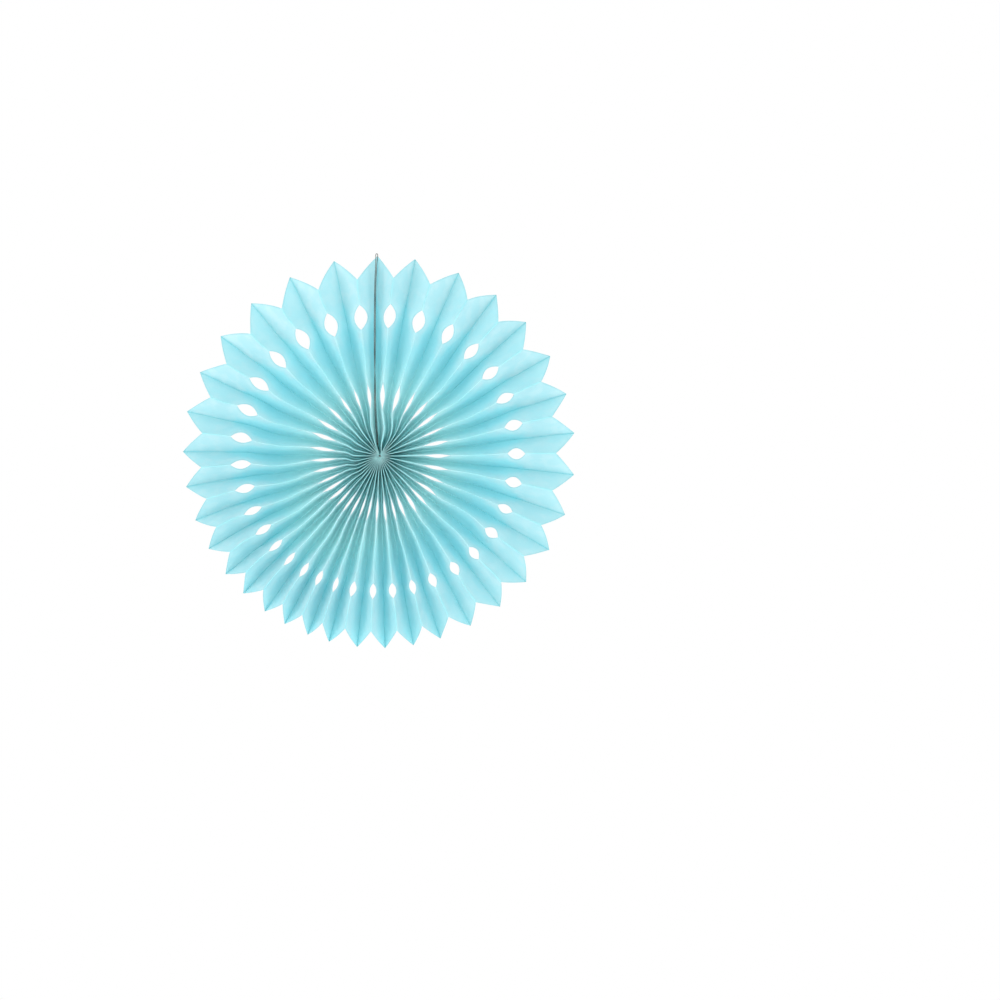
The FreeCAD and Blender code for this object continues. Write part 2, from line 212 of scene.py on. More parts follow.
def rowRadii(angle, radius):
    # Radii of each fold's rows: the ends of the slit and of the eye and the notch move to where
    # they lie at the fold's angle, and the rows between them follow evenly.
    slitMiddle = 0.5 * (paper["slitStart"] + paper["slitEnd"]) + changing("slitShift", angle)
    eyeMiddle = 0.5 * (paper["eyeStart"] + paper["eyeEnd"]) + changing("eyeShift", angle)
    slitHalf = 0.5 * changing("slitLength", angle)
    eyeHalf = 0.5 * changing("eyeLength", angle)
    given = [
        0.0, paper["stillRadius"], paper["slitStart"], paper["slitEnd"],
        paper["eyeStart"], paper["eyeEnd"], notchRadius, paper["tipRadius"],
    ]
    same = np.ones(len(angle))
    taken = np.stack([
        0.0 * same, paper["stillRadius"] * same, slitMiddle - slitHalf, slitMiddle + slitHalf,
        eyeMiddle - eyeHalf, eyeMiddle + eyeHalf,
        notchRadius + changing("notchShift", angle), paper["tipRadius"] * same,
    ], axis=1)
    return np.array([np.interp(radius, given, row) for row in taken])


def wanderings(draws, radius):
    # three sine waves for each fold, each of its own size and phase
    total = np.zeros(radius.shape)
    for waves in waver["waves"]:
        size = draws.uniform(waver["least"], 1.0, (len(radius), 1)) * waver["size"] / waves
        phase = draws.uniform(0.0, 2.0 * np.pi, (len(radius), 1))
        total += size * np.sin(2.0 * np.pi * waves * radius / paper["tipRadius"] + phase)
    return total * grows(radius, *waver["hub"]) * (1.0 - waver["rimLoss"] * grows(radius, *waver["rim"]))


def foldsAside(angle, place, radius, slack):
    # How far the folds lie aside of their rays. They lean to the left beside the thread, as a bell
    # curve of the angle, part for it, half as far from fold to fold, and hang slack in places.
    outside = np.maximum(radius - paper["hubRadius"], 0.0)
    aside = lean["width"] * closeTo(angle, lean["angle"], lean["spread"])
    aside = aside * (1.0 - np.exp(-outside / lean["rise"])) * fades(radius, lean["fade"], paper["tipRadius"])
    share = np.minimum(outside / (parting["reach"] - paper["hubRadius"]), 1.0)
    parted = parting["width"] * np.sin(np.pi * share ** parting["power"]) ** 2
    parted = parted + parting["hub"] * (1.0 - share) ** 2
    parted = parted * np.minimum(radius / paper["hubRadius"], 1.0)
    aside = aside + np.sign(place) * parted * parting["kept"] ** (np.abs(place) - 0.5)
    for hang in slacks:
        share = np.clip((radius - hang["inner"]) / (hang["outer"] - hang["inner"]), 0.0, 1.0)
        most = slack * hang["aside"] * closeTo(angle, hang["angle"], hang["spread"])
        aside = aside + most * np.sin(np.pi * share) ** paper["slackPower"]
    return aside


def foldLines(angle, place, radius, wander, slack):
    # Folds in the XZ plane, one row each: rays from the rim's middle, moved towards the hub's own
    # place by a smooth step, twisted near it, and pushed aside square to the ray. Their places are
    # counted from the petal under the thread, to the left from 0 up and to the right from 0 down.
    place = np.where(place > 0.5 * petalCount, place - petalCount, place)[:, None]
    angle = angle[:, None]
    aside = foldsAside(angle, place, radius, slack) + wander
    turn = np.radians(angle)
    for twist in twists:
        within = fades(radius, twist["inner"], twist["outer"])
        most = np.radians(twist["turn"]) * closeTo(angle, twist["angle"], twist["spread"])
        turn = turn + most * within
    x = radius * np.cos(turn) - aside * np.sin(turn)
    z = radius * np.sin(turn) + aside * np.cos(turn)
    sink = fades(radius, paper["hubRadius"], paper["hubReach"])
    return np.stack([x, z], axis=-1) + sink[..., None] * hubPlace


def cutBack(notches, slitCut, eyeCut, petalCut):
    # how far the near edge of each fold's panels is cut back, as a share of the panel
    slits = paper["slitDepth"] / paper["panelWidth"] * changing("slitOpening", notches)
    eyes = paper["eyeDepth"] / paper["panelWidth"] * changing("eyeOpening", notches)
    return slits[:, None] * slitCut + eyes[:, None] * eyeCut + petalCut


def creaseBulge(share):
    # grows from 0 at the fold to 1 where the bulge is widest, and dies away as an exponential
    return share / paper["creaseShare"] * np.exp(1.0 - share / paper["creaseShare"])


def panelSurfaces(draws, tips, notches, radius, share):
    # Middle surface of every panel, as points by near fold, side, row and column, and the gap
    # between its two folds. A panel keeps its width: the closer together its folds stand in the
    # XZ plane, the further apart they lie in depth.
    order = np.arange(petalCount)
    farRadius = rowRadii(tips, radius)
    nearRadius = rowRadii(notches, radius)
    farWander = waver["farShare"] * wanderings(draws, farRadius)
    far = foldLines(tips, order, farRadius, farWander, paper["farSlack"])
    near = foldLines(notches, order + 0.5, nearRadius, wanderings(draws, nearRadius), 1.0)
    farAfter = np.roll(far, -1, axis=0)
    gapBefore = np.linalg.norm(near - far, axis=-1)
    gapAfter = np.linalg.norm(farAfter - near, axis=-1)
    nearSpread = 0.5 * (gapBefore + gapAfter)
    farSpread = 0.5 * (gapBefore + np.roll(gapAfter, 1, axis=0))
    nearDepth = -0.5 * np.sqrt(paper["panelWidth"] ** 2 - nearSpread ** 2)
    farDepth = 0.5 * np.sqrt(paper["panelWidth"] ** 2 - farSpread ** 2)
    curl = draws.uniform(-1.0, 1.0, (petalCount, 1)) * paper["tipCurl"]
    farDepth = farDepth + curl * np.clip((radius - notchRadius) / paper["petalHeight"], 0.0, 1.0) ** 2

    # two panels for each near fold: one back to the petal before it, one on to the petal after it
    start = np.stack([near, near], axis=1)
    end = np.stack([far, farAfter], axis=1)
    startDepth = np.stack([nearDepth, nearDepth], axis=1)[..., None]
    endDepth = np.stack([farDepth, np.roll(farDepth, -1, axis=0)], axis=1)[..., None]
    gap = np.linalg.norm(end - start, axis=-1)[..., None]

    # a fold is rounded in depth, and its edge bulges to both sides as far as its neighbours allow
    bend = paper["creaseBend"]
    rise = np.sqrt(share ** 2 + bend ** 2) - bend
    fall = np.sqrt((1.0 - share) ** 2 + bend ** 2) - bend
    depth = startDepth + rise / (rise + fall) * (endDepth - startDepth)
    atHub = fades(radius, paper["hubRadius"], paper["hubRadius"] + paper["hubFade"])
    fill = paper["creaseFill"] + (paper["hubFill"] - paper["creaseFill"]) * atHub
    bulge = np.minimum(paper["creaseWidth"], fill[:, None] * gap)
    bulge = bulge * (creaseBulge(share) - creaseBulge(1.0 - share))

    # the panel bows to one side between its folds, a little to and fro along them
    phase = draws.uniform(0.0, 2.0 * np.pi, (petalCount, 2, 1, 1))
    size = draws.uniform(-1.0, 1.0, (petalCount, 2, 1, 1))
    wave = np.sin(2.0 * np.pi * paper["bellyWaves"] * radius[:, None] / paper["tipRadius"] + phase)
    wave = (1.0 - paper["bellyWaver"]) * size + paper["bellyWaver"] * wave
    bow = wave * np.minimum(paper["belly"], paper["bellyFill"] * gap) * np.sin(np.pi * share)
    sideways = share + (bulge + bow) / gap
    flat = start[:, :, :, None, :] + sideways[..., None] * (end - start)[:, :, :, None, :]
    return np.stack([flat[..., 0], depth, flat[..., 1]], axis=-1), gap


def frontNormals(middle, whole):
    # Normals to the front, from the surface's steps along its rows and columns. The panels on
    # both sides of a fold share theirs there, and a petal's point takes those of the row before.
    alongRow = np.gradient(middle, axis=3)
    alongColumn = np.gradient(middle, axis=2)
    alongRow[:, :, -1] = alongRow[:, :, -2]
    normal = np.cross(alongColumn, alongRow)
    normal[:, 0] *= -1.0
    normal /= np.linalg.norm(normal, axis=-1, keepdims=True)
    normal[:, :, -1] = normal[:, :, -2, -1:]
    nearMean = normal[:, 0, :, 0] + normal[:, 1, :, 0]
    farMean = normal[:, 1, :, -1] + np.roll(normal[:, 0, :, -1], -1, axis=0)
    for side in (0, 1):
        normal[:, side, :, 0] = np.where(whole[:, None], nearMean, normal[:, side, :, 0])
        normal[:, side, :, -1] = farMean if side else np.roll(farMean, 1, axis=0)
    return normal / np.linalg.norm(normal, axis=-1, keepdims=True)


def sheetTriangles(front, back, whole):
    # Triangles of the two skins, of the edges where the paper is cut and of its edge at the hub,
    # as numbers of the points of both skins, which come by near fold, side, row and column.
    cutRows = ~(whole[:-1] & whole[1:])
    shapes = []
    for side in (0, 1):
        here, behind = front[:, side], back[:, side]
        sheets = [
            (here[:, :-1, :-1], here[:, 1:, :-1], here[:, 1:, 1:], here[:, :-1, 1:]),
            (behind[:, :-1, :-1], behind[:, :-1, 1:], behind[:, 1:, 1:], behind[:, 1:, :-1]),
            (here[:, :-1, 0], behind[:, :-1, 0], behind[:, 1:, 0], here[:, 1:, 0]),
            (here[:, 0, :-1], here[:, 0, 1:], behind[:, 0, 1:], behind[:, 0, :-1]),
        ]
        quads = [np.stack(corners, axis=-1) for corners in sheets]
        quads[2] = quads[2][:, cutRows]
        for quad in quads:
            quad = quad.reshape(-1, 4)
            shapes.append(quad if side else quad[:, ::-1])
    faces = np.concatenate(shapes)
    return np.concatenate([faces[:, [0, 1, 2]], faces[:, [0, 2, 3]]])


# Where the paper's tints lie: pairs of radii, of shares of a panel where a name ends in Across, and
# widths as shares of a panel.
shading = {
    # crease whitening with a painted highlight along the near folds, which stand at the front
    "nearFoldWhiteningAndHighlight": (0.006, 0.018),
    "nearFoldWhiteningAndHighlightWidth": 0.018,
    # painted shade along the far folds, at the bottom of the valleys
    "farFoldShade": (0.060, 0.140),
    "farFoldShadeWidth": 0.014,
    # painted light beside the slits and eyes, where light comes through them
    "slitHalo": (0.006, 0.014, 1.0),  # reach inwards, reach outwards, strength
    "eyeHalo": (0.020, 0.006, 0.8),
    "haloWidth": 0.22,
    # painted shade along the cut edges
    "cutEdgeShadeWidth": 0.025,
    "pinched": (0.004, 0.026),
    "pinchedAcross": (0.0, 0.2),
    "pinchedLeast": 0.45,  # of it at the near folds
    # painted light: a paler tint in the deep middle, against the pleats' shade there
    "deep": (0.055, 0.120),
    # painted light where light falls on the petals' fronts; its edge runs further out towards the far folds,
    # as a shadow's edge does
    "rim": (0.106, 0.116),
    "rimSlope": 0.046,  # how much further out it starts at the far folds
    # painted shadow across the middle of a panel, on the petals at the bottom
    "paintedShadowAcross": (0.35, 0.65),
    # painted shade in the valleys at the hub, darker in every other one
    "shutStart": (0.005, 0.009),
    "shutEnd": (0.009, 0.027),
    "shutAcross": (0.25, 0.55),
    "shutLeast": 0.30,  # in the valleys between those that are shut most
    "shutDraws": (0.6, 1.0),
}


def paperMarks(draws, notches, radius, share, cut, whole):
    # How near each point is to a fold or to a cut edge, as an exponential of the share between
    # them, and whether it lies in the hub, in the deep middle or on the rim, as smooth steps. Most
    # of these marks say where light or shade is painted into the paper's colour.
    out = radius[:, None]
    turn = notches[:, None, None, None]
    halo = np.zeros(out.shape)
    for kind in ("slit", "eye"):
        before, after, strength = shading[kind + "Halo"]
        past = np.maximum(paper[kind + "Start"] - out, 0.0) / before
        past = past + np.maximum(out - paper[kind + "End"], 0.0) / after
        halo = halo + strength * np.exp(-past ** 2)
    fromCut = np.maximum(share - cut, 0.0)
    least = shading["pinchedLeast"]
    pinched = least + (1.0 - least) * grows(share, *shading["pinchedAcross"])

    # painted light and shade: one half of a petal's rim is painted paler than the other, and at the
    # bottom a painted shadow keeps the petal's middle dark
    paler = changing("paintedSideLight", turn) * np.array([-1.0, 1.0])[:, None, None]
    dark = changing("paintedShadowMiddle", turn) * grows(share, *shading["paintedShadowAcross"])

    # painted shade in the valleys at the hub, darker in every other one
    hubValleyShadeStrength = shading["shutLeast"] + (1.0 - shading["shutLeast"]) * (np.arange(petalCount) % 2)
    hubValleyShadeStrength = hubValleyShadeStrength * draws.uniform(*shading["shutDraws"], petalCount)
    hubValleyShadeStrength = np.stack([hubValleyShadeStrength, np.roll(hubValleyShadeStrength, -1)], axis=1)[:, :, None, None]
    hubValleyShade = grows(out, *shading["shutStart"]) * fades(out, *shading["shutEnd"])
    return {
        "nearFoldWhiteningAndHighlight": np.exp(-share / shading["nearFoldWhiteningAndHighlightWidth"]) * grows(out, *shading["nearFoldWhiteningAndHighlight"]),
        "farFoldShade": np.exp(-(1.0 - share) / shading["farFoldShadeWidth"]) * grows(out, *shading["farFoldShade"]),
        "paintedLightByCuts": halo * np.exp(-fromCut / shading["haloWidth"]),
        "cutEdgeShade": np.exp(-fromCut / shading["cutEdgeShadeWidth"]) * ~whole[:, None],
        "pinched": fades(out, *shading["pinched"]) * pinched,
        "deep": fades(out - changing("deepOutward", turn), *shading["deep"]),
        "rim": grows(out - shading["rimSlope"] * share, *shading["rim"]) * (1.0 + paler) * (1.0 - dark),
        "hubValleyShade": hubValleyShade * hubValleyShadeStrength * grows(share, *shading["shutAcross"]),
    }


def meshObject(name, points, faces, uv=None, marks=None):
    # points as an array, faces as lists; uv has one row per corner, marks one array per name
    mesh = bpy.data.meshes.new(name)
    mesh.from_pydata(points.tolist(), [], faces)
    mesh.polygons.foreach_set("use_smooth", np.ones(len(mesh.polygons), bool))
    if uv is not None:
        layer = mesh.uv_layers.new(name="UVMap")
        layer.data.foreach_set("uv", uv.astype(np.float32).ravel())
    for key, values in (marks or {}).items():
        mesh.attributes.new(key, "FLOAT", "POINT").data.foreach_set("value", values.astype(np.float32))
    mesh.update()
    piece = bpy.data.objects.new(name, mesh)
    bpy.context.scene.collection.objects.link(piece)
    return piece


def pleatedPaper():
    # The strip as a grid: fold by fold round the hub, and from the hub out to the rim. Across a
    # panel the share runs from the near fold's cut edge, at the front, to the far fold, at the back.
    draws = np.random.default_rng(paper["seed"])
    radius, slitCut, eyeCut, petalCut = paperStations()
    whole = slitCut + eyeCut + petalCut == 0.0
    tips = rimAngles(petalAngles)
    notches = 0.5 * (tips + np.append(tips[1:], tips[0] + 360.0))
    cut = cutBack(notches, slitCut, eyeCut, petalCut)[:, None, :, None]
    share = cut + np.array(paper["columns"]) * (1.0 - cut)
    middle, gap = panelSurfaces(draws, tips, notches, radius, share)

    # half a layer to the front and half to the back
    half = np.minimum(paper["halfLayer"], paper["layerFill"] * gap)[..., None]
    normal = frontNormals(middle, whole)
    skins = np.stack([middle + half * normal, middle - half * normal])
    skins[:, :, :, -1] = skins[:, :, :, -1, -1:]
    front, back = np.arange(skins[..., 0].size).reshape(skins.shape[:-1])
    triangles = sheetTriangles(front, back, whole)

    # join what lies in the same place, and drop what has shrunk to nothing
    points, numbers = np.unique(np.round(skins.reshape(-1, 3), 8), axis=0, return_inverse=True)
    numbers = numbers.reshape(-1)
    joined = numbers[triangles]
    kept = (joined[:, 0] != joined[:, 1]) & (joined[:, 1] != joined[:, 2]) & (joined[:, 2] != joined[:, 0])
    triangles, joined = triangles[kept], joined[kept]

    # the flat strip as UV: along the strip and out from the hub, in metres
    share = np.broadcast_to(share, middle.shape[:-1])
    order = np.arange(petalCount)[:, None, None, None]
    strip = 2.0 * order + 1.0 + np.array([-1.0, 1.0])[:, None, None] * share
    uv = np.stack([strip * paper["panelWidth"], np.broadcast_to(radius[:, None], strip.shape)], axis=-1)
    uv = np.broadcast_to(uv, (2,) + uv.shape).reshape(-1, 2)[triangles.reshape(-1)]

    marks = {}
    for key, value in paperMarks(draws, notches, radius, share, cut, whole).items():
        marks[key] = np.zeros(len(points))
        marks[key][numbers] = np.broadcast_to(value, skins.shape[:-1]).reshape(-1)
    piece = meshObject("paper_fan", points, joined.tolist(), uv, marks)
    piece.data.set_sharp_from_angle(angle=math.radians(paper["sharpAngle"]))
    print("paper fan:", len(points), "points,", len(joined), "triangles")
    return piece


thread = {
    "diameter": 0.0009,
    "plies": 3,
    "pitch": 0.0032,  # one turn of a ply
    "length": 0.3847,
    "exit": (-0.00153, -0.00800, 0.00990),
    "pathStep": 0.002,
}
# The thread leaves the knot, goes up to the loop at the top and comes down again.
threadRoute = [
    (-0.00153, -0.00800, 0.00990), (-0.00153, -0.00800, 0.01350), (-0.00248, -0.00790, 0.02050),
    (-0.00348, -0.00750, 0.03350), (-0.00413, -0.00690, 0.05000), (-0.00408, -0.00678, 0.06600),
    (-0.00380, -0.00643, 0.08200), (-0.00352, -0.00568, 0.09800), (-0.00342, -0.00470, 0.11400),
    (-0.00337, -0.00370, 0.14000), (-0.00307, -0.00280, 0.16600), (-0.00242, -0.00220, 0.18400),
    (-0.00170, -0.00180, 0.19400), (-0.00107, -0.00165, 0.19830), (-0.00105, -0.00160, 0.20098),
    (-0.00205, -0.00155, 0.20155), (-0.00305, -0.00160, 0.20098), (-0.00303, -0.00165, 0.19830),
    (-0.00300, -0.00180, 0.19400), (-0.00348, -0.00220, 0.18400), (-0.00413, -0.00280, 0.16600),
    (-0.00443, -0.00370, 0.14000), (-0.00448, -0.00470, 0.11400), (-0.00428, -0.00492, 0.09800),
    (-0.00380, -0.00537, 0.08200), (-0.00332, -0.00602, 0.06600), (-0.00307, -0.00690, 0.05000),
    (-0.00242, -0.00750, 0.03350), (-0.00142, -0.00790, 0.02050), (-0.00047, -0.00800, 0.01350),
    (-0.00047, -0.00800, 0.00990),
]
tie = {
    "knotFoot": (-0.00100, -0.00800, 0.00690),
    "knotLength": 0.0030,
    "knotRadius": 0.00095,
    "knotSwell": 0.14,  # how much thicker the knot is at half its length
    "wrapRadius": 0.00024,
    "wrapPitch": 0.0016,
    "wraps": 5.5,
    "ringRadius": 0.00125,
    "innerRing": 0.35,  # radius of the second turn, as a share of the first
    "ringPitch": 0.0026,
    "legPitch": 0.0030,
    "plyRadius": 0.00022,
    "points": {"ring": 49, "leg": 30, "core": 12, "coil": 260},  # along each line
}


def smoothLine(route):
    # points along the NURBS line that has the route's points as its control points
    curve = bpy.data.curves.new("route", "CURVE")
    curve.dimensions = "3D"
    curve.resolution_u = 16
    spline = curve.splines.new("NURBS")
    spline.points.add(len(route) - 1)
    for point, place in zip(spline.points, route):
        point.co = (*place, 1.0)
    spline.order_u = 3
    spline.use_endpoint_u = True
    holder = bpy.data.objects.new("route", curve)
    bpy.context.scene.collection.objects.link(holder)
    mesh = bpy.data.meshes.new_from_object(holder)
    line = np.zeros(len(mesh.vertices) * 3)
    mesh.vertices.foreach_get("co", line)
    bpy.data.objects.remove(holder)
    bpy.data.curves.remove(curve)
    bpy.data.meshes.remove(mesh)
    return line.reshape(-1, 3)


def evenly(line, step):
    # the same line with its points an even step apart, and their distance along it
    length = np.append(0.0, np.cumsum(np.linalg.norm(np.diff(line, axis=0), axis=1)))
    along = np.linspace(0.0, length[-1], max(int(length[-1] / step), 2) + 1)
    return np.stack([np.interp(along, length, line[:, axis]) for axis in range(3)], axis=1), along


def twistedPlies(line, plies, plyRadius, offset, pitch, upright):
    # Tubes wound round a line as a helix: each ply's middle is the line's point, plus offset
    # times a turning direction square to it, and its wall a ring of that ply's radius round that.
    stepsPerTurn, sides = 10.0, 6
    middle, along = evenly(line, pitch / stepsPerTurn)
    ahead = np.gradient(middle, axis=0)
    ahead /= np.linalg.norm(ahead, axis=1, keepdims=True)
    side = np.cross(ahead, np.array(upright))
    side /= np.linalg.norm(side, axis=1, keepdims=True)
    over = np.cross(side, ahead)
    around = 2.0 * np.pi * np.arange(sides)[None, :, None] / sides
    ring = plyRadius * (np.cos(around) * side[:, None] + np.sin(around) * over[:, None])
    points, faces = [], []
    for ply in range(plies):
        turn = 2.0 * np.pi * (along[:, None] / pitch + ply / plies)
        centre = middle + offset * (np.cos(turn) * side + np.sin(turn) * over)
        points.append((centre[:, None] + ring).reshape(-1, 3))
        index = np.arange(len(middle) * sides).reshape(-1, sides) + ply * len(middle) * sides
        after = np.roll(index, -1, axis=1)
        wall = np.stack([index[1:], after[1:], after[:-1], index[:-1]], axis=-1).reshape(-1, 4)
        faces += wall.tolist() + [index[0].tolist(), index[-1][::-1].tolist()]
    return np.concatenate(points), faces


def joinTubes(name, tubes):
    # one mesh from several sets of points and faces
    faces, first = [], 0
    for points, tubeFaces in tubes:
        faces += [[first + corner for corner in face] for face in tubeFaces]
        first += len(points)
    return meshObject(name, np.concatenate([points for points, tubeFaces in tubes]), faces)


def hangingThread():
    # three plies that touch each other and the circle of the thread's diameter
    line = smoothLine(threadRoute)
    plyRadius = 0.5 * thread["diameter"] / (1.0 + 2.0 / math.sqrt(3.0))
    offset = 0.5 * thread["diameter"] - plyRadius
    plies = twistedPlies(line, thread["plies"], plyRadius, offset, thread["pitch"], (0.0, 1.0, 0.0))
    piece = joinTubes("thread", [plies])
    path, along = evenly(line, thread["pathStep"])
    print("thread:", len(piece.data.vertices), "points, length", round(float(along[-1]), 4))
    return piece


def straightLine(start, end, count):
    # evenly spaced points from the start to the end
    return start + np.linspace(0.0, 1.0, count)[:, None] * (end - start)


def centreTie():
    # Two turns of thread in the hub's hole, a leg out to the knot, and the knot: a straight core
    # with a coil round it, whose radius swells as half a sine wave.
    hub = np.array([hubPlace[0], 0.0, hubPlace[1]])
    foot = np.array(tie["knotFoot"])
    top = foot + np.array([0.0, 0.0, tie["knotLength"]])
    count = tie["points"]
    turn = np.linspace(0.0, 2.0 * np.pi, count["ring"])
    circle = tie["ringRadius"] * np.stack([np.sin(turn), 0.0 * turn, np.cos(turn)], axis=1)
    leg = straightLine(hub + np.array([0.0, 0.0, tie["ringRadius"]]), foot, count["leg"])
    core = straightLine(foot, top, count["core"])
    wind = np.linspace(0.0, 1.0, count["coil"])
    swell = 1.0 - tie["knotSwell"] + tie["knotSwell"] * np.sin(np.pi * wind)
    coilRadius = (tie["knotRadius"] - tie["wrapRadius"]) * swell
    coilTurn = 2.0 * np.pi * tie["wraps"] * wind
    rise = tie["wrapRadius"] + wind * (tie["knotLength"] - 2.0 * tie["wrapRadius"])
    coil = foot + np.stack([coilRadius * np.cos(coilTurn), coilRadius * np.sin(coilTurn), rise], axis=1)
    ply, wrapPly = tie["plyRadius"], 0.5 * tie["wrapRadius"]
    return joinTubes("hub_tie", [
        twistedPlies(hub + circle, 2, ply, ply, tie["ringPitch"], (0.0, 1.0, 0.0)),
        twistedPlies(hub + tie["innerRing"] * circle, 2, ply, ply, tie["ringPitch"], (0.0, 1.0, 0.0)),
        twistedPlies(leg, 2, ply, ply, tie["legPitch"], (1.0, 0.0, 0.0)),
        twistedPlies(core, 2, ply, ply, tie["legPitch"], (1.0, 0.0, 0.0)),
        twistedPlies(coil, 2, wrapPly, wrapPly, tie["wrapPitch"], (0.0, 0.0, 1.0)),
    ])


def newMaterial(name):
    material = bpy.data.materials.new(name)
    material.use_nodes = True
    nodes = material.node_tree.nodes
    return material, nodes, material.node_tree.links, nodes["Principled BSDF"]


def colourRamp(nodes, low, high, dark, pale):
    # a ramp from the dark to the pale colour between two values
    shades = nodes.new("ShaderNodeValToRGB")
    for element, position, colour in zip(shades.color_ramp.elements, (low, high), (dark, pale)):
        element.position = position
        element.color = (*colour, 1.0)
    return shades


# Noises on the flat strip, and the values between which each becomes a tint.
tissue = {
    "clouds": {"scale": 45.0, "detail": 5.0, "stretch": (1.0, 1.0, 1.0), "range": (0.36, 0.68)},
    "streaks": {"scale": 1.0, "detail": 3.0, "stretch": (420.0, 26.0, 1.0), "range": (0.50, 0.72)},
    "patches": {"scale": 75.0, "detail": 4.0, "stretch": (1.0, 1.0, 1.0), "range": (0.46, 0.60)},
    "fibres": {"scale": 900.0, "detail": 3.0, "stretch": (1.0, 1.0, 1.0)},
    "fibreRelief": (0.25, 0.0003),  # strength and height
    "crumpleRelief": (0.35, 0.0020),
    "cloudTints": ((0.560, 0.908, 0.950), (0.620, 0.924, 0.960)),
    "tints": [  # laid over each other in this order: where, which colour, how strong
        ("streaks", (0.53, 0.890, 0.935), 0.10),
        # painted light in the deep middle
        ("deep", (0.76, 0.985, 0.992), 0.95),
        # painted light on the rim, with the painted side light and the painted shadow at the bottom in it
        ("rim", (0.67, 0.897, 0.930), 0.80),
        # random paler patches, laid only within the rim's painted light
        ("rimPatches", (0.80, 0.935, 0.955), 0.35),
        # crease whitening with a painted highlight
        ("nearFoldWhiteningAndHighlight", (0.50, 0.920, 0.950), 0.75),
        # painted shade at the far folds
        ("farFoldShade", (0.30, 0.760, 0.810), 0.70),
        # painted light beside the cuts
        ("paintedLightByCuts", (0.82, 0.965, 0.980), 0.62),
        # painted shade on the cut edges
        ("cutEdgeShade", (0.32, 0.720, 0.760), 0.65),
        ("pinched", (0.60, 0.982, 0.990), 0.80),
        # painted shade in the valleys at the hub
        ("hubValleyShade", (0.24, 0.560, 0.600), 0.45),
    ],
    "through": 0.50,  # the part of the light that passes through
    "roughness": 0.9,
    "shine": 0.05,
}


def tissuePaper():
    # Thin turquoise tissue. Its colour is a cloudy noise between two tints, streaked along the
    # folds by a stretched noise, then mixed towards other tints: crease whitening with a painted
    # highlight at the near folds, painted shade at the far folds, at the cut edges and in the valleys
    # at the hub, painted light beside the cuts, in the deep middle and at the rim, which has paler
    # patches, and a paler tint in the pinched middle.
    material, nodes, links, principled = newMaterial("turquoise tissue paper")
    place = nodes.new("ShaderNodeTexCoord")

    def noise(key):
        mapping = nodes.new("ShaderNodeMapping")
        mapping.inputs["Scale"].default_value = tissue[key]["stretch"]
        pattern = nodes.new("ShaderNodeTexNoise")
        pattern.inputs["Scale"].default_value = tissue[key]["scale"]
        pattern.inputs["Detail"].default_value = tissue[key]["detail"]
        links.new(place.outputs["UV"], mapping.inputs["Vector"])
        links.new(mapping.outputs["Vector"], pattern.inputs["Vector"])
        return pattern.outputs["Fac"]

    def ramp(source, key, dark=(0.0, 0.0, 0.0), pale=(1.0, 1.0, 1.0)):
        shades = colourRamp(nodes, *tissue[key]["range"], dark, pale)
        links.new(source, shades.inputs["Fac"])
        return shades.outputs["Color"]

    def times(first, second):
        # the second factor is a socket or a number
        product = nodes.new("ShaderNodeMath")
        product.operation = "MULTIPLY"
        links.new(first, product.inputs[0])
        if isinstance(second, float):
            product.inputs[1].default_value = second
        else:
            links.new(second, product.inputs[1])
        return product.outputs["Value"]

    def mark(key):
        attribute = nodes.new("ShaderNodeAttribute")
        attribute.attribute_name = key
        return attribute.outputs["Fac"]

    def bump(height, strength, distance):
        relief = nodes.new("ShaderNodeBump")
        relief.inputs["Strength"].default_value = strength
        relief.inputs["Distance"].default_value = distance
        links.new(height, relief.inputs["Height"])
        return relief

    clouds = noise("clouds")
    drawn = {
        "streaks": ramp(noise("streaks"), "streaks"),
        "rimPatches": times(ramp(noise("patches"), "patches"), mark("rim")),
    }
    colour = ramp(clouds, "clouds", *tissue["cloudTints"])
    for key, tint, share in tissue["tints"]:
        mix = nodes.new("ShaderNodeMix")
        mix.data_type = "RGBA"
        mix.inputs["B"].default_value = (*tint, 1.0)
        links.new(times(drawn[key] if key in drawn else mark(key), share), mix.inputs["Factor"])
        links.new(colour, mix.inputs["A"])
        colour = mix.outputs["Result"]

    # fine fibres, and a soft crumple where the clouds are
    fibres = bump(noise("fibres"), *tissue["fibreRelief"])
    crumple = bump(clouds, *tissue["crumpleRelief"])
    links.new(fibres.outputs["Normal"], crumple.inputs["Normal"])
    links.new(colour, principled.inputs["Base Color"])
    links.new(crumple.outputs["Normal"], principled.inputs["Normal"])
    principled.inputs["Roughness"].default_value = tissue["roughness"]
    principled.inputs["Specular IOR Level"].default_value = tissue["shine"]
    through = nodes.new("ShaderNodeBsdfTranslucent")
    links.new(colour, through.inputs["Color"])
    links.new(crumple.outputs["Normal"], through.inputs["Normal"])
    blend = nodes.new("ShaderNodeMixShader")
    blend.inputs["Fac"].default_value = tissue["through"]
    links.new(principled.outputs["BSDF"], blend.inputs[1])
    links.new(through.outputs["BSDF"], blend.inputs[2])
    links.new(blend.outputs["Shader"], nodes["Material Output"].inputs["Surface"])
    return material


yarn = {
    "stretch": (60.0, 60.0, 42.0),  # of the noise for its darker and lighter lengths
    "detail": 2.0,
    "range": (0.40, 0.62),
    "dark": (0.045, 0.056, 0.052),
    "pale": (0.190, 0.200, 0.182),
    "fibreScale": 6000.0,
    "reliefStrength": 0.5,
    "reliefHeight": 0.00008,
    "roughness": 0.7,
    "sheen": 0.2,
}


